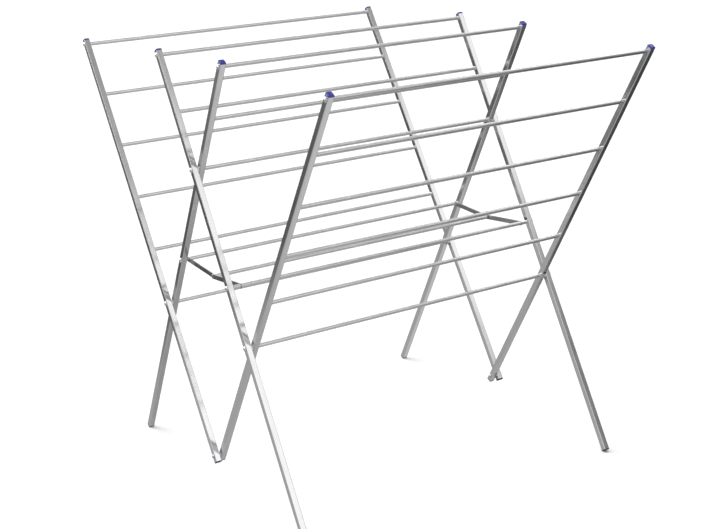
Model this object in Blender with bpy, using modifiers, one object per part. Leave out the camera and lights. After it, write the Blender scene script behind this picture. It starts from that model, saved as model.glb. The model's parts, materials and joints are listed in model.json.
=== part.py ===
"""Folding clothes drying rack: two crossed leg frames and two hanging wing frames of square tube.

Metres, +Z up, +Y to the back, +X to the right along the rods. The origin is on the floor, under the middle of
the rack. The legs cross on one through rod, each wing hangs on a through rod near the middle of a leg, and
the wings meet on short pins at the bottom, so the whole rack opens and shuts as one linkage. A two-part
stay spans the legs at each end.
"""

from math import asin, cos, pi, radians, sin

import bmesh
import bpy
from mathutils import Matrix, Vector

# Driving dimensions
TUBE_SIDE = 0.015
TUBE_WALL = 0.001
TUBE_CORNER = 0.0014
HALF_SPAN = 0.456  # middle of the rack to the centre plane of an outer tube
ROD_RADIUS = 0.005
ROD_WALL = 0.0008  # of a plain rod, which is a round tube
ROD_PITCH = 0.15
LEG_TILT = radians(29)
LEG_BELOW = 0.49  # wing pivot to the end of the leg tube
WING_BELOW = 0.417  # wing pivot to the lower pin
WING_END = 0.015  # lower pin to the end of the wing tube
ROD_STUB = 0.004  # how far a plain rod reaches into the hollow of its tube
HEAD_LIP = 0.0009  # how far a rivet head reaches past its hole
HEAD_HEIGHT = 0.0032
HEAD_TO_FRAME = 0.0004  # between an inner tube's rivet heads and the outer tubes' plane
PIN_RADIUS = 0.003
SPACER_WIDTH = 0.0015
CAP_HEIGHT = 0.005
CAP_STEM = 0.0035
CAP_ROUND = 0.0014
FOOT_HEIGHT = 0.003
FOOT_STEM = 0.006
ROD_TO_STEM = 0.001  # between the top rod and the plug above it
STAY_DROOP = radians(4.5)  # how far each open stay link slopes down to the middle rod
LINK_EDGE = 0.001  # from a stay link's hole to its edge
LINK_THICKNESS = 0.002
LINK_TO_LINK = 0.0006
RIVET_HEIGHT = 0.0009

# Clearances
FIT_GAP = 0.0003
PIN_PLAY = 0.0015  # round the lower pin, where the linkage closes on itself

# Places along a tube, counted down from its top rod in rod pitches
LEG_PIVOT_AT = 2 * ROD_PITCH
STAY_AT = 4 * ROD_PITCH
WING_PIVOT_AT = 5 * ROD_PITCH
LEG_PLAIN_RODS = 1
WING_PLAIN_RODS = 4

# Fineness of round shapes
ROUND_STEPS = 12
CORNER_STEPS = 2
DOME_STEPS = 2
OVERSHOOT = 0.002  # how far a cutter runs past the face it opens

# Sizes that follow
FRAME_GAP = HEAD_HEIGHT + FIT_GAP + HEAD_TO_FRAME  # between an outer tube and the inner tube beside it
INNER_SPAN = HALF_SPAN - TUBE_SIDE - FRAME_GAP
HOLE_RADIUS = ROD_RADIUS + FIT_GAP
HEAD_RADIUS = HOLE_RADIUS + HEAD_LIP
PIN_HEAD_RADIUS = PIN_RADIUS + PIN_PLAY + HEAD_LIP
LINK_RADIUS = HOLE_RADIUS + LINK_EDGE
LINK_TO_TUBE = RIVET_HEIGHT + 2 * FIT_GAP
TOP_REACH = HOLE_RADIUS + ROD_TO_STEM + CAP_STEM
PIVOT_TO_WING = WING_PIVOT_AT - LEG_PIVOT_AT
WING_TILT = asin(PIVOT_TO_WING * sin(LEG_TILT) / WING_BELOW)
LEG_TO_FLOOR = PIVOT_TO_WING + LEG_BELOW + FIT_GAP + FOOT_HEIGHT
PIVOT_HEIGHT = LEG_TO_FLOOR * cos(LEG_TILT) + TUBE_SIDE / 2 * sin(LEG_TILT)
STAY_HALF = (STAY_AT - LEG_PIVOT_AT) * sin(LEG_TILT)
LINK_LENGTH = STAY_HALF / cos(STAY_DROOP)
OUTER_LINK_X = INNER_SPAN - TUBE_SIDE / 2 - LINK_TO_TUBE - LINK_THICKNESS / 2
INNER_LINK_X = OUTER_LINK_X - LINK_THICKNESS - LINK_TO_LINK

SIDES = {"left": -1, "right": 1}
ALONG_X = Matrix.Rotation(pi / 2, 4, "Y")


def clear_scene():
    for obj in list(bpy.data.objects):
        bpy.data.objects.remove(obj)


def new_collection(name, hidden=False):
    collection = bpy.data.collections.new(name)
    collection.hide_render = hidden
    bpy.context.scene.collection.children.link(collection)
    return collection


def principled(name, colour, roughness, metallic):
    material = bpy.data.materials.new(name)
    material.use_nodes = True
    shader = material.node_tree.nodes["Principled BSDF"]
    shader.inputs["Base Color"].default_value = (*colour, 1)
    shader.inputs["Roughness"].default_value = roughness
    shader.inputs["Metallic"].default_value = metallic
    return material


def joint_empty(name, place, lean):
    """An empty on a joint's axis, turned about X so that what hangs on it is modelled upright."""
    empty = bpy.data.objects.new(name, None)
    empty.location = place
    empty.rotation_euler.x = lean
    rack.objects.link(empty)
    return empty


def add_object(name, data, parent, material, place=(0, 0, 0), turn=(0, 0, 0)):
    obj = bpy.data.objects.new(name, data)
    obj.parent = parent
    obj.location = place
    obj.rotation_euler = turn
    obj.data.materials.append(material)
    rack.objects.link(obj)
    return obj


def circle_points(radius, centre_x=0.0, start=0.0, sweep=2 * pi, steps=ROUND_STEPS, whole=True):
    """Points round an arc. A whole circle leaves out its last point, which would repeat the first."""
    count = steps if whole else steps + 1
    angles = [start + sweep * step / steps for step in range(count)]
    return [(centre_x + radius * cos(angle), radius * sin(angle)) for angle in angles]


def rounded_square(side, corner):
    inset = side / 2 - corner
    points = []
    for quarter in range(4):
        start = quarter * pi / 2
        centre_x = inset * (1 if quarter in (0, 3) else -1)
        centre_y = inset * (1 if quarter in (0, 1) else -1)
        arc = circle_points(corner, 0.0, start, pi / 2, CORNER_STEPS, whole=False)
        points += [(centre_x + x, centre_y + y) for x, y in arc]
    return points


def square(side):
    half = side / 2
    return [(half, half), (-half, half), (-half, -half), (half, -half)]


def extruded_outline(name, outlines, depth):
    """A flat curve with holes, thickened to depth about its own plane."""
    curve = bpy.data.curves.new(name, "CURVE")
    curve.dimensions = "2D"
    curve.fill_mode = "BOTH"
    curve.extrude = depth / 2
    for outline in outlines:
        spline = curve.splines.new("POLY")
        spline.points.add(len(outline) - 1)
        for point, (x, y) in zip(spline.points, outline):
            point.co = (x, y, 0, 1)
        spline.use_cyclic_u = True
    return curve


def mesh_of_curve(curve):
    """The curve's solid as a mesh, with its two flat ends welded to its sides."""
    carrier = bpy.data.objects.new(curve.name, curve)
    rack.objects.link(carrier)
    graph = bpy.context.evaluated_depsgraph_get()
    mesh = bpy.data.meshes.new_from_object(carrier.evaluated_get(graph))
    bpy.data.objects.remove(carrier)
    work = bmesh.new()
    work.from_mesh(mesh)
    bmesh.ops.remove_doubles(work, verts=work.verts, dist=FIT_GAP / 10)
    bmesh.ops.recalc_face_normals(work, faces=work.faces)
    work.to_mesh(mesh)
    work.free()
    mesh.name = curve.name
    bpy.data.curves.remove(curve)
    return mesh


def hole_cutter(name, holes, side, parent, place):
    """One cutter for all the cross holes of a tube.

    A hole is (height, radius, whether it goes right through).
    """
    work = bmesh.new()
    outside = TUBE_SIDE / 2 + OVERSHOOT
    for height, radius, through in holes:
        depth = 2 * outside if through else outside
        middle = 0 if through else -side * outside / 2
        bmesh.ops.create_cone(
            work,
            cap_ends=True,
            segments=ROUND_STEPS,
            radius1=radius,
            radius2=radius,
            depth=depth,
            matrix=Matrix.Translation((middle, 0, height)) @ ALONG_X,
        )
    mesh = bpy.data.meshes.new(name)
    work.to_mesh(mesh)
    work.free()
    cutter = bpy.data.objects.new(name, mesh)
    cutter.parent = parent
    cutter.location = place
    cutter.hide_render = True
    cutter.display_type = "WIRE"
    cutters.objects.link(cutter)
    return cutter


def tube(name, parent, side, span, top, bottom, holes):
    """A square tube from bottom to top along its frame, with its rod holes.

    Heights are from the joint axis.
    """
    middle = (top + bottom) / 2
    outlines = [rounded_square(TUBE_SIDE, TUBE_CORNER), square(TUBE_SIDE - 2 * TUBE_WALL)]
    mesh = mesh_of_curve(extruded_outline(name, outlines, top - bottom))
    place = (side * span, 0, middle)
    obj = add_object(name, mesh, parent, steel, place)
    placed_holes = [(height - middle, radius, through) for height, radius, through in holes]
    cut = obj.modifiers.new("rod holes", "BOOLEAN")
    cut.operation = "DIFFERENCE"
    cut.solver = "EXACT"
    cut.object = hole_cutter(name + "_holes", placed_holes, side, parent, place)
    return obj


def turned(name, profile, parent, material, place, closed=False, side=1):
    """A profile of (radius, x) points turned about X, from its outer end inwards.

    Side -1 mirrors it to the left.
    """
    mesh = bpy.data.meshes.new(name)
    work = bmesh.new()
    ring = [work.verts.new((radius, 0, x)) for radius, x in profile]
    pairs = list(zip(ring, ring[1:]))
    if closed:
        pairs.append((ring[-1], ring[0]))
    for pair in pairs:
        work.edges.new(pair)
    work.to_mesh(mesh)
    work.free()
    obj = add_object(name, mesh, parent, material, place, (0, side * pi / 2, 0))
    screw = obj.modifiers.new("turn", "SCREW")
    screw.axis = "Z"
    screw.steps = ROUND_STEPS
    screw.render_steps = ROUND_STEPS
    screw.use_merge_vertices = True
    screw.merge_threshold = FIT_GAP / 10
    screw.use_smooth_shade = True
    return obj


def dome(radius, height, seat):
    """A rivet head's outline from its crown on the axis down to its rim on the seat."""
    angles = [pi / 2 * (1 - step / DOME_STEPS) for step in range(DOME_STEPS + 1)]
    return [(radius * cos(angle), seat + height * sin(angle)) for angle in angles]


def shaft_profile(radius, right_end, left_end, right_head=None, left_head=None):
    """A shaft from left_end to right_end. A head is (radius, height) and stands outside its end."""
    profile = []
    if right_head:
        profile += dome(*right_head, right_end)
    else:
        profile.append((0, right_end))
    profile += [(radius, right_end), (radius, left_end)]
    if left_head:
        profile += [(r, -x) for r, x in reversed(dome(*left_head, -left_end))]
    else:
        profile.append((0, left_end))
    return profile


def plain_rod(name, parent, span, height):
    """A hollow rod whose open ends stop inside its two tubes."""
    end = span - TUBE_SIDE / 2 + TUBE_WALL + ROD_STUB
    bore = ROD_RADIUS - ROD_WALL
    profile = [(ROD_RADIUS, end), (ROD_RADIUS, -end), (bore, -end), (bore, end)]
    turned(name, profile, parent, rod_steel, (0, 0, height), closed=True)


def headed_rod(name, parent, span, height):
    """A solid rod right through two tubes, with a domed head on each end."""
    end = span + TUBE_SIDE / 2 + FIT_GAP
    head = (HEAD_RADIUS, HEAD_HEIGHT)
    turned(name, shaft_profile(ROD_RADIUS, end, -end, head, head), parent, rod_steel, (0, 0, height))


def spacers(name, parent, bore, height):
    """The two washers that hold an outer tube off an inner one."""
    half = FRAME_GAP / 2 - FIT_GAP
    rim = bore + SPACER_WIDTH
    profile = [(rim, half), (rim, -half), (bore, -half), (bore, half)]
    for side_name, side in SIDES.items():
        place = (side * (HALF_SPAN - TUBE_SIDE / 2 - FRAME_GAP / 2), 0, height)
        turned(f"{name}_{side_name}", profile, parent, nylon, place, closed=True)


def plug_mesh(name, height, stem, rounding):
    """A plug for a square tube: a head as wide as the tube, standing on z = 0, and a stem below it."""
    mesh = bpy.data.meshes.new(name)
    work = bmesh.new()
    box = Matrix.Translation((0, 0, height / 2)) @ Matrix.Diagonal((TUBE_SIDE, TUBE_SIDE, height, 1))
    bmesh.ops.create_cube(work, size=1, matrix=box)
    uprights = [edge for edge in work.edges if abs(edge.verts[0].co.z - edge.verts[1].co.z) > height / 2]
    bmesh.ops.bevel(
        work, geom=uprights, offset=TUBE_CORNER, segments=CORNER_STEPS, profile=0.5, affect="EDGES"
    )
    if rounding:
        rim = [edge for edge in work.edges if all(vert.co.z > height * 0.99 for vert in edge.verts)]
        bmesh.ops.bevel(
            work, geom=rim, offset=rounding, segments=CORNER_STEPS, profile=0.5, affect="EDGES"
        )
    base = min(work.faces, key=lambda face: face.calc_center_median().z)
    bmesh.ops.inset_region(work, faces=[base], thickness=TUBE_WALL + FIT_GAP)
    grown = bmesh.ops.extrude_discrete_faces(work, faces=[base])["faces"][0]
    bmesh.ops.translate(work, verts=grown.verts, vec=(0, 0, -stem))
    bmesh.ops.recalc_face_normals(work, faces=work.faces)
    work.to_mesh(mesh)
    work.free()
    return mesh


def plug(name, mesh, parent, material, side, span, seat, pointing):
    """Sets a plug on a tube's end at height seat: pointing is 1 on a top end and -1 on a bottom end."""
    turn = 0 if pointing > 0 else pi
    place = (side * span, 0, seat + pointing * FIT_GAP)
    add_object(name, mesh, parent, material, place, (turn, 0, 0))


def link_outline():
    """A bar with round ends, from its first hole's centre at the origin to its second along local X."""
    near = circle_points(LINK_RADIUS, 0.0, pi / 2, pi, ROUND_STEPS // 2, whole=False)
    far = circle_points(LINK_RADIUS, LINK_LENGTH, -pi / 2, pi, ROUND_STEPS // 2, whole=False)
    return near + far


def stay_links(name, parent, x, far_hole):
    outlines = [
        link_outline(),
        circle_points(HOLE_RADIUS),
        circle_points(far_hole, LINK_LENGTH),
    ]
    for side_name, side in SIDES.items():
        curve = extruded_outline(f"{name}_{side_name}", outlines, LINK_THICKNESS)
        add_object(curve.name, curve, parent, stay_steel, (side * x, 0, 0), (pi / 2, 0, pi / 2))


def frame(name, parent, span, pivot_at, length, plain_rods, crossings, end_name):
    """A frame's two tubes with their plugs, its headed top rod and its plain rods.

    Length runs from the top rod to the tubes' lower ends, pivot_at from the top rod to the axis of parent.
    Crossings are the holes for what joins this frame to others, as (distance from the top rod, radius).
    """
    plain_at = [ROD_PITCH * count for count in range(1, plain_rods + 1)]
    holes = [(pivot_at - at, HOLE_RADIUS, False) for at in plain_at]
    holes += [(pivot_at - at, radius, True) for at, radius in [(0, HOLE_RADIUS), *crossings]]
    top = pivot_at + TOP_REACH
    bottom = pivot_at - length
    for side_name, side in SIDES.items():
        tube(f"{name}_tube_{side_name}", parent, side, span, top, bottom, holes)
        plug(f"{name}_top_cap_{side_name}", top_plug, parent, blue_plastic, side, span, top, 1)
        plug(f"{name}_{end_name}_{side_name}", end_plug, parent, dark_plastic, side, span, bottom, -1)
    headed_rod(f"{name}_rod_1", parent, span, pivot_at)
    for count, at in enumerate(plain_at, start=2):
        plain_rod(f"{name}_rod_{count}", parent, span, pivot_at - at)


def leg_frame(name, parent, span):
    crossings = [(at, HOLE_RADIUS) for at in (LEG_PIVOT_AT, STAY_AT, WING_PIVOT_AT)]
    length = WING_PIVOT_AT + LEG_BELOW
    frame(name, parent, span, LEG_PIVOT_AT, length, LEG_PLAIN_RODS, crossings, "foot")
    headed_rod(f"{name}_stay_rod", parent, span, LEG_PIVOT_AT - STAY_AT)


def wing_frame(name, parent, span, pin_hole):
    pin_at = WING_PIVOT_AT + WING_BELOW
    crossings = [(WING_PIVOT_AT, HOLE_RADIUS), (pin_at, pin_hole)]
    frame(name, parent, span, WING_PIVOT_AT, pin_at + WING_END, WING_PLAIN_RODS, crossings, "end_cap")


def lower_pins(parent):
    """The short pins that join the wings at the bottom. They are fixed in the rear wing's tubes."""
    head = (PIN_HEAD_RADIUS, HEAD_HEIGHT)
    outer = HALF_SPAN + TUBE_SIDE / 2 + FIT_GAP
    inner = INNER_SPAN - TUBE_SIDE / 2 - FIT_GAP
    profile = shaft_profile(PIN_RADIUS, outer, inner, head, head)
    for side_name, side in SIDES.items():
        turned(f"lower_pin_{side_name}", profile, parent, rod_steel, (0, 0, -WING_BELOW), side=side)


def stay_rivets(parent):
    """The rivets in the front stay links' free ends. Their inner faces are flush, clear of the rear links."""
    seat = OUTER_LINK_X + LINK_THICKNESS / 2 + FIT_GAP
    flush = OUTER_LINK_X - LINK_THICKNESS / 2
    profile = shaft_profile(PIN_RADIUS, seat, flush, (PIN_HEAD_RADIUS, RIVET_HEIGHT))
    for side_name, side in SIDES.items():
        turned(f"stay_rivet_{side_name}", profile, parent, rod_steel, (0, LINK_LENGTH, 0), side=side)


def middle_rod(parent):
    """The stay's middle rod, which ends flush inside the rear links."""
    end = INNER_LINK_X + LINK_THICKNESS / 2 - FIT_GAP
    place = (0, LINK_LENGTH, 0)
    turned("stay_middle_rod", shaft_profile(ROD_RADIUS, end, -end), parent, rod_steel, place)


clear_scene()
rack = new_collection("clothes_drying_rack")
cutters = new_collection("cutters", hidden=True)

steel = principled("polished stainless tube", (0.72, 0.72, 0.73), 0.22, 1)
rod_steel = principled("drawn stainless rod", (0.66, 0.66, 0.67), 0.3, 1)
stay_steel = principled("stamped steel stay", (0.3, 0.3, 0.31), 0.4, 1)
blue_plastic = principled("blue plastic", (0.05, 0.06, 0.3), 0.4, 0)
dark_plastic = principled("dark plastic", (0.03, 0.03, 0.06), 0.5, 0)
nylon = principled("nylon washer", (0.75, 0.75, 0.76), 0.5, 0)

top_plug = plug_mesh("top_plug", CAP_HEIGHT, CAP_STEM, CAP_ROUND)
end_plug = plug_mesh("end_plug", FOOT_HEIGHT, FOOT_STEM, 0)

# The side view, seen from the left: places on the middle plane of the rack
leg_pivot = Vector((0, 0, PIVOT_HEIGHT))
down_rear_leg = Vector((0, sin(LEG_TILT), -cos(LEG_TILT)))
down_front_leg = Vector((0, -sin(LEG_TILT), -cos(LEG_TILT)))
leg_to_stay = STAY_AT - LEG_PIVOT_AT

rear_leg_axis = joint_empty("rear_leg_axis", leg_pivot, LEG_TILT)
front_leg_axis = joint_empty("front_leg_axis", leg_pivot, -LEG_TILT)
rear_wing_axis = joint_empty("rear_wing_axis", leg_pivot + PIVOT_TO_WING * down_rear_leg, -WING_TILT)
front_wing_axis = joint_empty("front_wing_axis", leg_pivot + PIVOT_TO_WING * down_front_leg, WING_TILT)
rear_stay_axis = joint_empty("rear_stay_axis", leg_pivot + leg_to_stay * down_rear_leg, pi + STAY_DROOP)
front_stay_axis = joint_empty("front_stay_axis", leg_pivot + leg_to_stay * down_front_leg, -STAY_DROOP)

leg_frame("rear_leg", rear_leg_axis, INNER_SPAN)
leg_frame("front_leg", front_leg_axis, HALF_SPAN)
wing_frame("rear_wing", rear_wing_axis, HALF_SPAN, PIN_RADIUS + FIT_GAP)
wing_frame("front_wing", front_wing_axis, INNER_SPAN, PIN_RADIUS + PIN_PLAY)

headed_rod("leg_pivot_rod", front_leg_axis, HALF_SPAN, 0)
headed_rod("front_wing_pivot_rod", front_leg_axis, HALF_SPAN, -PIVOT_TO_WING)
headed_rod("rear_wing_pivot_rod", rear_wing_axis, HALF_SPAN, 0)
spacers("leg_pivot_spacer", front_leg_axis, HOLE_RADIUS, 0)
spacers("front_wing_spacer", front_leg_axis, HOLE_RADIUS, -PIVOT_TO_WING)
spacers("rear_wing_spacer", rear_wing_axis, HOLE_RADIUS, 0)
spacers("lower_pin_spacer", rear_wing_axis, PIN_RADIUS + FIT_GAP, -WING_BELOW)
lower_pins(rear_wing_axis)

stay_links("rear_stay_link", rear_stay_axis, INNER_LINK_X, HOLE_RADIUS)
stay_links("front_stay_link", front_stay_axis, OUTER_LINK_X, PIN_RADIUS + FIT_GAP)
middle_rod(rear_stay_axis)
stay_rivets(front_stay_axis)
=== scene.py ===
"""Looks for the folding clothes drying rack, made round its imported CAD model.

Each visible piece is a fine mesh that stands for one CAD node. Its place and size are read from that node, in
axes that run along its own tube, rod or link, so the looks follow the model. Metres, +Z up.
"""

import json
from math import cos, pi, radians, sin

import bmesh
import bpy
from mathutils import Matrix, Vector


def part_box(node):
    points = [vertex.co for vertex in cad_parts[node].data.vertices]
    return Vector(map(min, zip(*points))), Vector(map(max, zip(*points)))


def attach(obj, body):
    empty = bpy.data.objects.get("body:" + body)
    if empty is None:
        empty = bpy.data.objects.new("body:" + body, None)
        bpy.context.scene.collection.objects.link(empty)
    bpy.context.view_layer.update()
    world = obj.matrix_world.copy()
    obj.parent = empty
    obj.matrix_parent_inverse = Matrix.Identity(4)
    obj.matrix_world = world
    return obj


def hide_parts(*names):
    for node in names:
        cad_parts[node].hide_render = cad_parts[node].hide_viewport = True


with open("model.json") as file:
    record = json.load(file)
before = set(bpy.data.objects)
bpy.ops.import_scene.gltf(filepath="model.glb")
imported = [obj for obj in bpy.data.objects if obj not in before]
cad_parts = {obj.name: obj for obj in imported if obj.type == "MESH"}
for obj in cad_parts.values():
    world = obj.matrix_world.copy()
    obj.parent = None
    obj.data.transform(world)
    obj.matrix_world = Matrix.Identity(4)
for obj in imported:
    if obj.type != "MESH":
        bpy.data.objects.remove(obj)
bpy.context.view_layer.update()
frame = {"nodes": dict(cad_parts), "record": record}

# Sizes that the nodes' boxes don't give
TUBE_WALL = 0.001
TUBE_CORNER = 0.0014
TUBE_INNER_CORNER = 0.0003
CUT_EDGE = 0.00015  # rounding of a sawn or punched edge
HOLE_GAP = 0.0003
PIN_RADIUS = 0.003
PIN_PLAY = 0.0015
ROD_WALL = 0.0008
HEAD_RIM = 0.0006  # straight height of a rivet head's rim, under its dome
CAP_CROWN = 0.0026  # how far a top cap's rounded edge reaches in and down
CAP_DOME = 0.0003
CAP_DOME_RINGS = (0.85, 0.6, 0.3)  # widths of the rings on a top cap's dome, as shares of the dome
PLUG_EDGE = 0.0004
PLUG_STEM_GAP = 0.0003
LINK_EDGE = 0.0003

# Fineness
ROUND_STEPS = 48
CORNER_STEPS = 6
DOME_STEPS = 8
HOLE_OVERSHOOT = 0.004  # how far a hole's cutter runs past the face it opens
MERGE_WITHIN = 1e-7
SHARP = radians(40)  # a crease sharper than this isn't smoothed

# Camera, placed from the point where the legs cross
CAMERA_FROM_PIVOT = Vector((-1.8531, -2.9636, 0.7247))
CAMERA_AZIMUTH = radians(-32.05)
CAMERA_ELEVATION = radians(16.76)
CAMERA_ROLL = radians(-2.48)
CAMERA_LENS = 69.175
CAMERA_SENSOR = 36

# The studio's light. A patch is its direction, the two cosines of the angle to it between which the patch
# fades in, and its brightness.
HORIZON = (-0.06, 0.04)
WALL_LIGHT = 0.62
LIGHT_ABOVE = {
    "shade to the right": ((0.8, -0.55, 0.25), 0.9, 0.96, 0.2),
    "bright walls and ceiling": ((-0.6, 0, 1), 0.034, 0.206, 1.35),
    "brighter behind": ((-0.35, 0.55, 0.75), 0.35, 0.6, 2.9),
    "grey wall to the left": ((-0.85, -0.2, 0.45), 0.75, 0.88, 0.45),
    "grey ceiling to the right": ((0.55, 0.35, 0.75), 0.72, 0.85, 0.6),
    "lamp high on the right": ((0.69, 0.13, 0.71), 0.98, 0.992, 3.0),
    "grey over the front": ((0.45, -0.45, 0.77), 0.9, 0.975, 0.4),
    "grey over the left": ((-0.35, -0.45, 0.8), 0.87, 0.95, 0.45),
    "soft lamp in front": ((0.25, -0.82, 0.5), 0.949, 0.961, 1.25),
    "small lamp to the right": ((0.58, -0.565, 0.59), 0.993, 0.998, 1.25),
}
GROUND_LIGHT = 0.45
LIGHT_BELOW = {
    "dark behind": ((0.43, 0, 1), -0.478, -0.436, 0.1),
    "shade behind": ((0.43, 0, 1), -0.4, -0.28, 0.22),
    "open front": ((0, -1, 0), -0.2, 0.1, 0.47),
    "light in front": ((0.2, -0.85, -0.45), 0.9, 0.96, 0.65),
    "sheet on the ground": ((0.5, -0.3, -0.81), 0.965, 0.99, 0.67),
    "grey beside the sheet": ((0.33, -0.22, -0.92), 0.984, 0.996, 0.36),
    "dark to the right": ((0.9, -0.15, -0.4), 0.868, 0.886, 0.06),
    "dark in front on the right": ((0.8, -0.5, -0.33), 0.89, 0.95, 0.07),
}
FLOOR_HALF = 40
FLOOR_COLOUR = (0.97, 0.97, 0.97)
FLOOR_ROUGHNESS = 0.9

# Textures: how many waves to the metre, in a piece's own axes, where Z runs along it
DRAWN_LINES = (1600, 1600, 9)
SMUDGES = (60, 60, 14)
DENTS = (900, 900, 900)
FLOW_MARKS = (260, 260, 130)
MOULD_GRAIN = (2600, 2600, 2600)
RING_WAVES = 700
RING_WOBBLE = 1.5
NOISE_MIDDLE = (0.3, 0.7)  # the range that holds most values of a noise
RING_DEPTH = 0.00004

SIDES = {"left": -1, "right": 1}
ALONG_X = Matrix.Rotation(pi / 2, 4, "Y")

# Each frame's pivot, its low plugs, the plain rods between its tubes, and what crosses its tubes
FRAMES = {
    "rear_leg": (
        "leg_pivot_rod",
        "foot",
        [2],
        ["rear_leg_stay_rod", "leg_pivot_rod", "rear_wing_pivot_rod"],
    ),
    "front_leg": (
        "leg_pivot_rod",
        "foot",
        [2],
        ["front_leg_stay_rod", "leg_pivot_rod", "front_wing_pivot_rod"],
    ),
    "rear_wing": ("rear_wing_pivot_rod", "end_cap", [2, 3, 4, 5], ["rear_wing_pivot_rod"]),
    "front_wing": ("front_wing_pivot_rod", "end_cap", [2, 3, 4, 5], ["front_wing_pivot_rod"]),
}
THROUGH_RODS = [
    "leg_pivot_rod",
    "rear_wing_pivot_rod",
    "front_wing_pivot_rod",
    "rear_leg_stay_rod",
    "front_leg_stay_rod",
]

# The radius of the lower pin's hole in each wing's tubes
PIN_HOLE = {"rear_wing": PIN_RADIUS + HOLE_GAP, "front_wing": PIN_RADIUS + PIN_PLAY}

body_of = {
    node: body for body, nodes in frame["record"]["behaviour"]["bodies"].items() for node in nodes
}

# Sizes that several pieces share, read from the frame
rod_low, rod_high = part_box("rear_wing_rod_2")
rod_radius = (rod_high.z - rod_low.z) / 2
rod_hole = rod_radius + HOLE_GAP
tube_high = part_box("front_leg_tube_right")[1]
head_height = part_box("front_leg_rod_1")[1].x - tube_high.x - HOLE_GAP


# ---------------------------------------------------------------- places


def middle_of(node):
    low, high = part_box(node)
    return (low + high) / 2


def axes_along(origin, towards):
    """Axes at origin with X along the rods and Z towards another point of the same side view."""
    up = Vector((0, towards.y - origin.y, towards.z - origin.z)).normalized()
    across = Vector((1, 0, 0))
    turn = Matrix((across, up.cross(across), up)).transposed().to_4x4()
    return Matrix.Translation(origin) @ turn


def box_in(node, axes):
    """A node's size and the axes moved to its middle."""
    inverse = axes.inverted()
    points = [inverse @ vert.co for vert in frame["nodes"][node].data.vertices]
    low = Vector([min(point[i] for point in points) for i in range(3)])
    high = Vector([max(point[i] for point in points) for i in range(3)])
    return high - low, axes @ Matrix.Translation((low + high) / 2)


# ---------------------------------------------------------------- meshes


def finished(mesh):
    """Recalculates the normals, and shades it smooth but for its sharp edges."""
    work = bmesh.new()
    work.from_mesh(mesh)
    bmesh.ops.remove_doubles(work, verts=work.verts, dist=MERGE_WITHIN)
    bmesh.ops.recalc_face_normals(work, faces=work.faces)
    work.to_mesh(mesh)
    work.free()
    mesh.shade_smooth()
    mesh.set_sharp_from_angle(angle=SHARP)
    return mesh


def lofted(name, rings, closed=False):
    """A skin over rings of as many points each.

    Closed joins the last ring to the first. Otherwise both ends are capped.
    """
    work = bmesh.new()
    made = [[work.verts.new(point) for point in ring] for ring in rings]
    pairs = list(zip(made, made[1:]))
    if closed:
        pairs.append((made[-1], made[0]))
    for lower, upper in pairs:
        for i in range(len(lower)):
            j = (i + 1) % len(lower)
            work.faces.new((lower[i], lower[j], upper[j], upper[i]))
    if not closed:
        work.faces.new(made[0])
        work.faces.new(made[-1])
    mesh = bpy.data.meshes.new(name)
    work.to_mesh(mesh)
    work.free()
    return finished(mesh)


def lathed(name, profile, closed=False):
    """A profile of (radius, z) points turned about Z."""
    work = bmesh.new()
    verts = [work.verts.new((radius, 0, z)) for radius, z in profile]
    edges = [work.edges.new(pair) for pair in zip(verts, verts[1:])]
    if closed:
        edges.append(work.edges.new((verts[-1], verts[0])))
    bmesh.ops.spin(
        work,
        geom=verts + edges,
        axis=(0, 0, 1),
        cent=(0, 0, 0),
        steps=ROUND_STEPS,
        angle=2 * pi,
        use_merge=True,
    )
    mesh = bpy.data.meshes.new(name)
    work.to_mesh(mesh)
    work.free()
    return finished(mesh)


def rounded_square(side, corner, z):
    """Points round a square with arcs at its corners, at height z."""
    inset = side / 2 - corner
    points = []
    for quarter in range(4):
        centre_x = inset * (1 if quarter in (0, 3) else -1)
        centre_y = inset * (1 if quarter in (0, 1) else -1)
        for step in range(CORNER_STEPS + 1):
            angle = (quarter + step / CORNER_STEPS) * pi / 2
            points.append((centre_x + corner * cos(angle), centre_y + corner * sin(angle), z))
    return points


def drilled(mesh, holes):
    """The mesh with round holes along X. A hole is (x from, x to, y, z, radius)."""
    carrier = bpy.data.objects.new(mesh.name, mesh)
    bpy.context.scene.collection.objects.link(carrier)
    work = bmesh.new()
    for start, end, y, z, radius in holes:
        place = Matrix.Translation(((start + end) / 2, y, z)) @ ALONG_X
        bmesh.ops.create_cone(
            work,
            cap_ends=True,
            segments=ROUND_STEPS,
            radius1=radius,
            radius2=radius,
            depth=end - start,
            matrix=place,
        )
    cutter_mesh = bpy.data.meshes.new(mesh.name + "_holes")
    work.to_mesh(cutter_mesh)
    work.free()
    cutter = bpy.data.objects.new(cutter_mesh.name, cutter_mesh)
    bpy.context.scene.collection.objects.link(cutter)
    cut = carrier.modifiers.new("holes", "BOOLEAN")
    cut.operation = "DIFFERENCE"
    cut.solver = "EXACT"
    cut.object = cutter
    graph = bpy.context.evaluated_depsgraph_get()
    result = bpy.data.meshes.new_from_object(carrier.evaluated_get(graph))
    bpy.data.objects.remove(carrier)
    bpy.data.objects.remove(cutter)
    return finished(result)


def tube_mesh(name, side, length, holes):
    """A square tube round Z with rounded corners and eased ends, drilled across."""
    bore = side - 2 * TUBE_WALL
    top = length / 2
    rings = [
        rounded_square(side - 2 * CUT_EDGE, TUBE_CORNER - CUT_EDGE, -top),
        rounded_square(side, TUBE_CORNER, -top + CUT_EDGE),
        rounded_square(side, TUBE_CORNER, top - CUT_EDGE),
        rounded_square(side - 2 * CUT_EDGE, TUBE_CORNER - CUT_EDGE, top),
        rounded_square(bore, TUBE_INNER_CORNER, top),
        rounded_square(bore, TUBE_INNER_CORNER, -top),
    ]
    return drilled(lofted(name, rings, closed=True), holes)


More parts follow.
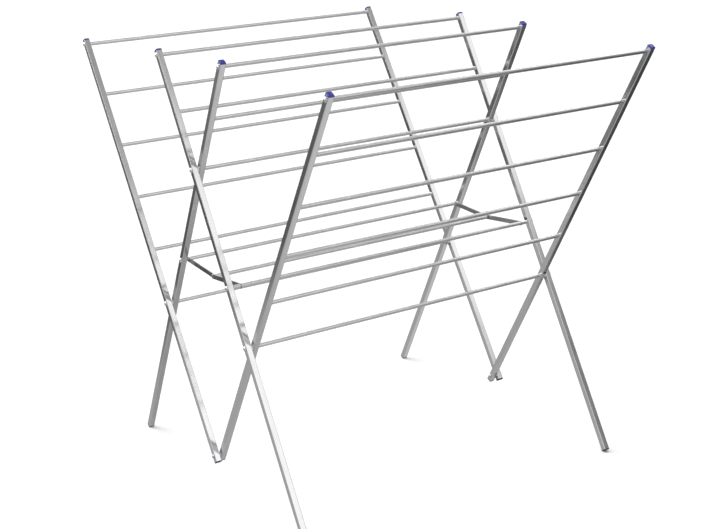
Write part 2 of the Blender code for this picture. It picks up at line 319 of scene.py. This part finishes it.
def top_cap_mesh(name, side, height, stem):
    """A domed square plug: a head on z = 0 with a well rounded crown, and its stem below."""
    stem_side = side - 2 * (TUBE_WALL + PLUG_STEM_GAP)
    rings = [
        rounded_square(stem_side, TUBE_INNER_CORNER, -stem),
        rounded_square(stem_side, TUBE_INNER_CORNER, 0),
        rounded_square(side - 2 * CUT_EDGE, TUBE_CORNER - CUT_EDGE, 0),
        rounded_square(side, TUBE_CORNER, CUT_EDGE),
    ]
    shoulder = height - CAP_CROWN - CAP_DOME
    for step in range(DOME_STEPS + 1):
        angle = pi / 2 * step / DOME_STEPS
        inset = CAP_CROWN * (1 - cos(angle))
        corner = TUBE_CORNER + inset / 2
        rings.append(rounded_square(side - 2 * inset, corner, shoulder + CAP_CROWN * sin(angle)))
    crown_side = side - 2 * CAP_CROWN
    crown_corner = TUBE_CORNER + CAP_CROWN / 2
    for share in CAP_DOME_RINGS:
        rise = CAP_DOME * (1 - share**2)
        rings.append(rounded_square(crown_side * share, crown_corner * share, height - CAP_DOME + rise))
    return lofted(name, rings)


def end_plug_mesh(name, side, height, stem):
    """A flat square plug with eased edges, on z = 0 with its stem below."""
    stem_side = side - 2 * (TUBE_WALL + PLUG_STEM_GAP)
    rings = [
        rounded_square(stem_side, TUBE_INNER_CORNER, -stem),
        rounded_square(stem_side, TUBE_INNER_CORNER, 0),
        rounded_square(side - 2 * CUT_EDGE, TUBE_CORNER - CUT_EDGE, 0),
        rounded_square(side, TUBE_CORNER, CUT_EDGE),
    ]
    for step in range(CORNER_STEPS + 1):
        angle = pi / 2 * step / CORNER_STEPS
        inset = PLUG_EDGE * (1 - cos(angle))
        z = height - PLUG_EDGE * (1 - sin(angle))
        rings.append(rounded_square(side - 2 * inset, TUBE_CORNER - inset, z))
    return lofted(name, rings)


def head_profile(shaft, radius, height, seat):
    """A rivet head's outline from its crown down over its rim to the shaft, standing on seat."""
    rise = height - HEAD_RIM
    profile = []
    for step in range(DOME_STEPS + 1):
        angle = pi / 2 * (1 - step / DOME_STEPS)
        profile.append((radius * cos(angle), seat + HEAD_RIM + rise * sin(angle)))
    profile += [(radius, seat + CUT_EDGE), (radius - CUT_EDGE, seat), (shaft, seat)]
    profile[0] = (0, seat + height)  # exactly on the axis, where the cosine only comes close
    return profile


def shaft_mesh(name, shaft, ends, heads):
    """A shaft along Z from ends[1] up to ends[0]. Each end has a head (radius, height) or None."""
    upper_end, lower_end = ends
    upper_head, lower_head = heads
    eased = [(0, upper_end), (shaft - CUT_EDGE, upper_end), (shaft, upper_end - CUT_EDGE)]
    profile = head_profile(shaft, *upper_head, upper_end) if upper_head else eased
    if lower_head:
        profile += [(radius, -z) for radius, z in reversed(head_profile(shaft, *lower_head, -lower_end))]
    else:
        profile += [(shaft, lower_end + CUT_EDGE), (shaft - CUT_EDGE, lower_end), (0, lower_end)]
    return lathed(name, profile)


def sleeve_mesh(name, bore, radius, length):
    """A round sleeve along Z with eased outer edges, for a tubular rod or a washer."""
    end = length / 2
    profile = [
        (radius, -end + CUT_EDGE),
        (radius, end - CUT_EDGE),
        (radius - CUT_EDGE, end),
        (bore, end),
        (bore, -end),
        (radius - CUT_EDGE, -end),
    ]
    return lathed(name, profile, closed=True)


def link_mesh(name, length, radius, thickness, hole_radii):
    """A flat bar across X with round ends and eased edges, from its first hole at the origin along Z."""
    half = thickness / 2
    rings = []
    for x, inset in ((-half, LINK_EDGE), (LINK_EDGE - half, 0), (half - LINK_EDGE, 0), (half, LINK_EDGE)):
        ring = []
        for centre, start in ((0, -pi), (length, 0)):
            for step in range(ROUND_STEPS // 2 + 1):
                angle = start + pi * step / (ROUND_STEPS // 2)
                reach = radius - inset
                ring.append((x, reach * cos(angle), centre + reach * sin(angle)))
        rings.append(ring)
    edge = half + HOLE_OVERSHOOT
    holes = [(-edge, edge, 0, z, hole) for z, hole in zip((0, length), hole_radii)]
    return drilled(lofted(name, rings), holes)


# ---------------------------------------------------------------- materials


def new_material(name, colour, roughness, metallic):
    material = bpy.data.materials.new(name)
    material.use_nodes = True
    shader = material.node_tree.nodes["Principled BSDF"]
    shader.inputs["Base Color"].default_value = (*colour, 1)
    shader.inputs["Roughness"].default_value = roughness
    shader.inputs["Metallic"].default_value = metallic
    return material, shader


def object_noise(tree, waves, detail):
    """Noise in the piece's own axes, with this many waves to the metre along each."""
    place = tree.nodes.new("ShaderNodeTexCoord")
    mapping = tree.nodes.new("ShaderNodeMapping")
    mapping.inputs["Scale"].default_value = waves
    noise = tree.nodes.new("ShaderNodeTexNoise")
    noise.inputs["Scale"].default_value = 1
    noise.inputs["Detail"].default_value = detail
    tree.links.new(place.outputs["Object"], mapping.inputs["Vector"])
    tree.links.new(mapping.outputs["Vector"], noise.inputs["Vector"])
    return noise.outputs["Fac"]


def ranged(tree, value, low, high):
    """A noise value spread from its usual middle range to low..high."""
    spread = tree.nodes.new("ShaderNodeMapRange")
    spread.inputs["From Min"].default_value = NOISE_MIDDLE[0]
    spread.inputs["From Max"].default_value = NOISE_MIDDLE[1]
    spread.inputs["To Min"].default_value = low
    spread.inputs["To Max"].default_value = high
    tree.links.new(value, spread.inputs["Value"])
    return spread.outputs["Result"]


def blended(tree, value, first, second):
    """A colour between first and second."""
    mix = tree.nodes.new("ShaderNodeMix")
    mix.data_type = "RGBA"
    mix.inputs["A"].default_value = (*first, 1)
    mix.inputs["B"].default_value = (*second, 1)
    tree.links.new(ranged(tree, value, 0, 1), mix.inputs["Factor"])
    return mix.outputs["Result"]


def add_bump(tree, shader, value, strength, depth):
    """Fine relief on the shader's surface, from a noise value."""
    bump = tree.nodes.new("ShaderNodeBump")
    bump.inputs["Strength"].default_value = strength
    bump.inputs["Distance"].default_value = depth
    tree.links.new(value, bump.inputs["Height"])
    tree.links.new(bump.outputs["Normal"], shader.inputs["Normal"])


def drawn_metal(name, dull, bright, roughness, line_depth):
    """Metal drawn or polished along Z: fine lengthwise lines, soft smudges, and roughness that varies."""
    material, shader = new_material(name, bright, roughness[0], 1)
    tree = material.node_tree
    lines = object_noise(tree, DRAWN_LINES, detail=3)
    smudges = object_noise(tree, SMUDGES, detail=5)
    tree.links.new(blended(tree, smudges, dull, bright), shader.inputs["Base Color"])
    tree.links.new(ranged(tree, smudges, *roughness), shader.inputs["Roughness"])
    add_bump(tree, shader, lines, strength=0.35, depth=line_depth)
    return material


def turned_metal(name, dull, bright, roughness):
    """Rivet metal: rings from forming the head, and small dents."""
    material, shader = new_material(name, bright, roughness[0], 1)
    tree = material.node_tree
    place = tree.nodes.new("ShaderNodeTexCoord")
    rings = tree.nodes.new("ShaderNodeTexWave")
    rings.wave_type = "RINGS"
    rings.rings_direction = "Z"
    rings.inputs["Scale"].default_value = RING_WAVES
    rings.inputs["Distortion"].default_value = RING_WOBBLE
    tree.links.new(place.outputs["Object"], rings.inputs["Vector"])
    dents = object_noise(tree, DENTS, detail=3)
    tree.links.new(blended(tree, dents, dull, bright), shader.inputs["Base Color"])
    tree.links.new(ranged(tree, dents, *roughness), shader.inputs["Roughness"])
    add_bump(tree, shader, rings.outputs["Fac"], strength=0.25, depth=RING_DEPTH)
    return material


def moulded_plastic(name, deep, pale, roughness, grain_depth):
    """Injection-moulded plastic: an even colour with faint flow marks, over a fine grain."""
    material, shader = new_material(name, pale, roughness[0], 0)
    tree = material.node_tree
    flow = object_noise(tree, FLOW_MARKS, detail=3)
    grain = object_noise(tree, MOULD_GRAIN, detail=2)
    tree.links.new(blended(tree, flow, deep, pale), shader.inputs["Base Color"])
    tree.links.new(ranged(tree, flow, *roughness), shader.inputs["Roughness"])
    add_bump(tree, shader, grain, strength=0.4, depth=grain_depth)
    return material


# ---------------------------------------------------------------- pieces


def add_piece(node, mesh, axes, material):
    """Shows a mesh in place of a CAD node, on that node's body."""
    piece = bpy.data.objects.new(node + "_fine", mesh)
    piece.matrix_world = axes
    bpy.context.scene.collection.objects.link(piece)
    mesh.materials.clear()
    mesh.materials.append(material)
    smooth = piece.modifiers.new("even shading", "WEIGHTED_NORMAL")
    smooth.keep_sharp = True
    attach(piece, body_of[node])
    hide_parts(node)


def rod_axes(middle):
    """Axes at a rod's middle, with Z along it."""
    return Matrix.Translation(middle) @ ALONG_X


def add_tube(name, side_name, axes, plain_rods, crossings):
    """A frame's square tube. A crossing is a rod and the radius of its hole right through the tube."""
    node = f"{name}_tube_{side_name}"
    size, tube_axes = box_in(node, axes)
    to_tube = tube_axes.inverted()
    outside = size.x / 2 + HOLE_OVERSHOOT
    inwards = -SIDES[side_name]
    holes = []
    for rod, radius in crossings:
        place = to_tube @ middle_of(rod)
        holes.append((-outside, outside, 0, place.z, radius))
    for rod in plain_rods:
        place = to_tube @ middle_of(rod)
        start, end = sorted((0, inwards * outside))
        holes.append((start, end, 0, place.z, rod_hole))
    add_piece(node, tube_mesh(node, size.x, size.z, holes), tube_axes, tube_metal)


def add_plugs(name, side_name, axes, low_end):
    """The plugs in both ends of a tube. A node's box holds its head and its stem."""
    tube_size, tube_axes = box_in(f"{name}_tube_{side_name}", axes)
    for kind, sign in (("top_cap", 1), (low_end, -1)):
        node = f"{name}_{kind}_{side_name}"
        size, plug_axes = box_in(node, axes)
        height_in_tube = (tube_axes.inverted() @ plug_axes.translation).z
        overhang = abs(height_in_tube) + size.z / 2 - tube_size.z / 2 - HOLE_GAP
        seat = tube_axes @ Matrix.Translation((0, 0, sign * (tube_size.z / 2 + HOLE_GAP)))
        if sign > 0:
            mesh = top_cap_mesh(node, size.x, overhang, size.z - overhang)
            add_piece(node, mesh, seat, cap_plastic)
        else:
            mesh = end_plug_mesh(node, size.x, overhang, size.z - overhang)
            add_piece(node, mesh, seat @ Matrix.Rotation(pi, 4, "X"), plug_plastic)


def add_headed_rod(node):
    """A through rod with a domed head outside each tube."""
    low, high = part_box(node)
    reach = (high.x - low.x) / 2
    head_radius = (high.z - low.z) / 2
    end = reach - head_height
    heads = [(head_radius, head_height)] * 2
    mesh = shaft_mesh(node, rod_radius, (end, -end), heads)
    add_piece(node, mesh, rod_axes(middle_of(node)), rod_metal)


def add_plain_rod(node):
    """A round tube between two square tubes."""
    low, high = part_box(node)
    mesh = sleeve_mesh(node, rod_radius - ROD_WALL, rod_radius, high.x - low.x)
    add_piece(node, mesh, rod_axes(middle_of(node)), rod_metal)


def add_washer(node, bore):
    """A washer in the gap between an outer and an inner tube."""
    low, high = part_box(node)
    mesh = sleeve_mesh(node, bore, (high.z - low.z) / 2, high.x - low.x)
    add_piece(node, mesh, rod_axes(middle_of(node)), washer_nylon)


def add_lower_pin(node):
    """A short pin with a head on each side of the two tubes that it joins."""
    low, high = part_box(node)
    end = (high.x - low.x) / 2 - head_height
    heads = [((high.z - low.z) / 2, head_height)] * 2
    mesh = shaft_mesh(node, PIN_RADIUS, (end, -end), heads)
    add_piece(node, mesh, rod_axes(middle_of(node)), rivet_metal)


def add_stay_rivet(node, side, link):
    """A rivet through a link's free end, with its head on the link's outer side."""
    low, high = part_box(node)
    link_low, link_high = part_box(link)
    length = high.x - low.x
    height = length - (link_high.x - link_low.x) - HOLE_GAP
    head = ((high.z - low.z) / 2, height)
    mesh = shaft_mesh(node, PIN_RADIUS, (length / 2 - height, -length / 2), (head, None))
    axes = Matrix.Translation(middle_of(node)) @ Matrix.Rotation(side * pi / 2, 4, "Y")
    add_piece(node, mesh, axes, rivet_metal)


def add_link(node, start, end, hole_radii):
    """A stay link between two rods' axes."""
    origin = middle_of(start)
    length = (middle_of(end) - origin).yz.length
    axes = axes_along(origin, middle_of(end))
    size, _ = box_in(node, axes)
    mesh = link_mesh(node, length, size.y / 2, size.x, hole_radii)
    shift = Matrix.Translation((middle_of(node).x - origin.x, 0, 0))
    add_piece(node, mesh, shift @ axes, stay_metal)


def add_middle_rod(node):
    """The stay's middle rod, which has no heads."""
    low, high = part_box(node)
    end = (high.x - low.x) / 2
    mesh = shaft_mesh(node, rod_radius, (end, -end), (None, None))
    add_piece(node, mesh, rod_axes(middle_of(node)), rod_metal)


# ---------------------------------------------------------------- stage


def direction_ramp(tree, toward, low, high):
    """0 to 1 as a view direction turns from cosine low to cosine high of the angle to a fixed direction."""
    place = tree.nodes.new("ShaderNodeTexCoord")
    dot = tree.nodes.new("ShaderNodeVectorMath")
    dot.operation = "DOT_PRODUCT"
    dot.inputs[1].default_value = Vector(toward).normalized()
    tree.links.new(place.outputs["Generated"], dot.inputs[0])
    ramp = tree.nodes.new("ShaderNodeMapRange")
    ramp.interpolation_type = "SMOOTHSTEP"
    ramp.inputs["From Min"].default_value = low
    ramp.inputs["From Max"].default_value = high
    tree.links.new(dot.outputs["Value"], ramp.inputs["Value"])
    return ramp.outputs["Result"]


def layered(tree, below, share, level):
    """A brightness that turns from below to level by share. Each brightness is a number or a socket."""
    mix = tree.nodes.new("ShaderNodeMix")
    mix.data_type = "FLOAT"
    for socket, brightness in ((mix.inputs["A"], below), (mix.inputs["B"], level)):
        if isinstance(brightness, bpy.types.NodeSocket):
            tree.links.new(brightness, socket)
        else:
            socket.default_value = brightness
    tree.links.new(share, mix.inputs["Factor"])
    return mix.outputs["Result"]


def patched(tree, level, patches):
    """A brightness with patches laid over it in turn."""
    for toward, begins, full, brightness in patches.values():
        level = layered(tree, level, direction_ramp(tree, toward, begins, full), brightness)
    return level


def studio():
    """Soft light from all round, brighter above than below."""
    world = bpy.data.worlds.new("studio")
    bpy.context.scene.world = world
    world.use_nodes = True
    tree = world.node_tree
    background = tree.nodes["Background"]
    background.inputs["Color"].default_value = (1, 1, 1, 1)
    above = patched(tree, WALL_LIGHT, LIGHT_ABOVE)
    below = patched(tree, GROUND_LIGHT, LIGHT_BELOW)
    level = layered(tree, below, direction_ramp(tree, (0, 0, 1), *HORIZON), above)
    camera_ray = tree.nodes.new("ShaderNodeLightPath").outputs["Is Camera Ray"]
    level = layered(tree, level, camera_ray, 1)
    tree.links.new(level, background.inputs["Strength"])


def floor():
    """A wide, plain, pale floor at the feet."""
    mesh = bpy.data.meshes.new("floor")
    work = bmesh.new()
    bmesh.ops.create_grid(work, x_segments=1, y_segments=1, size=FLOOR_HALF)
    work.to_mesh(mesh)
    work.free()
    material, shader = new_material("floor", FLOOR_COLOUR, FLOOR_ROUGHNESS, metallic=0)
    shader.inputs["Specular IOR Level"].default_value = 0
    mesh.materials.append(material)
    plane = bpy.data.objects.new("floor", mesh)
    plane.visible_glossy = False
    bpy.context.scene.collection.objects.link(plane)


def camera(pivot):
    """The scene's camera, placed from the point where the legs cross."""
    data = bpy.data.cameras.new("camera")
    data.lens = CAMERA_LENS
    data.sensor_width = CAMERA_SENSOR
    obj = bpy.data.objects.new("camera", data)
    turn = Matrix.Rotation(CAMERA_AZIMUTH, 4, "Z")
    tip = Matrix.Rotation(pi / 2 - CAMERA_ELEVATION, 4, "X")
    roll = Matrix.Rotation(CAMERA_ROLL, 4, "Z")
    obj.matrix_world = Matrix.Translation(pivot + CAMERA_FROM_PIVOT) @ turn @ tip @ roll
    bpy.context.scene.collection.objects.link(obj)
    bpy.context.scene.camera = obj


# ---------------------------------------------------------------- the rack


tube_metal = drawn_metal(
    "polished_stainless",
    dull=(0.71, 0.71, 0.72),
    bright=(0.78, 0.78, 0.79),
    roughness=(0.11, 0.17),
    line_depth=0.00001,
)
rod_metal = drawn_metal(
    "drawn_stainless",
    dull=(0.72, 0.72, 0.73),
    bright=(0.8, 0.8, 0.81),
    roughness=(0.2, 0.28),
    line_depth=0.00002,
)
rivet_metal = turned_metal(
    "formed_rivet",
    dull=(0.5, 0.5, 0.51),
    bright=(0.68, 0.68, 0.69),
    roughness=(0.18, 0.32),
)
stay_metal = drawn_metal(
    "stamped_steel",
    dull=(0.4, 0.4, 0.405),
    bright=(0.52, 0.52, 0.525),
    roughness=(0.16, 0.26),
    line_depth=0.00003,
)
cap_plastic = moulded_plastic(
    "blue_plastic",
    deep=(0.026, 0.028, 0.22),
    pale=(0.04, 0.043, 0.3),
    roughness=(0.18, 0.26),
    grain_depth=0.00003,
)
plug_plastic = moulded_plastic(
    "navy_plastic",
    deep=(0.015, 0.016, 0.05),
    pale=(0.025, 0.026, 0.075),
    roughness=(0.4, 0.55),
    grain_depth=0.00005,
)
washer_nylon = moulded_plastic(
    "nylon",
    deep=(0.62, 0.62, 0.6),
    pale=(0.72, 0.72, 0.7),
    roughness=(0.4, 0.5),
    grain_depth=0.00003,
)

for name, (pivot, low_end, plain, crossing) in FRAMES.items():
    top_rod = f"{name}_rod_1"
    axes = axes_along(middle_of(pivot), middle_of(top_rod))
    plain_rods = [f"{name}_rod_{count}" for count in plain]
    crossings = [(rod, rod_hole) for rod in [top_rod, *crossing]]
    if name in PIN_HOLE:
        crossings.append(("lower_pin_left", PIN_HOLE[name]))
    for side_name in SIDES:
        add_tube(name, side_name, axes, plain_rods, crossings)
        add_plugs(name, side_name, axes, low_end)
    add_headed_rod(top_rod)
    for rod in plain_rods:
        add_plain_rod(rod)

for rod in THROUGH_RODS:
    add_headed_rod(rod)

for side_name, side in SIDES.items():
    for spacer in ("leg_pivot", "rear_wing", "front_wing"):
        add_washer(f"{spacer}_spacer_{side_name}", rod_hole)
    add_washer(f"lower_pin_spacer_{side_name}", PIN_RADIUS + HOLE_GAP)
    add_lower_pin(f"lower_pin_{side_name}")
    rear_link = f"rear_stay_link_{side_name}"
    front_link = f"front_stay_link_{side_name}"
    add_link(rear_link, "rear_leg_stay_rod", "stay_middle_rod", (rod_hole, rod_hole))
    add_link(front_link, "front_leg_stay_rod", "stay_middle_rod", (rod_hole, PIN_RADIUS + HOLE_GAP))
    add_stay_rivet(f"stay_rivet_{side_name}", side, front_link)
add_middle_rod("stay_middle_rod")

floor()
studio()
camera(middle_of("leg_pivot_rod"))
bpy.context.scene.view_settings.view_transform = "Standard"
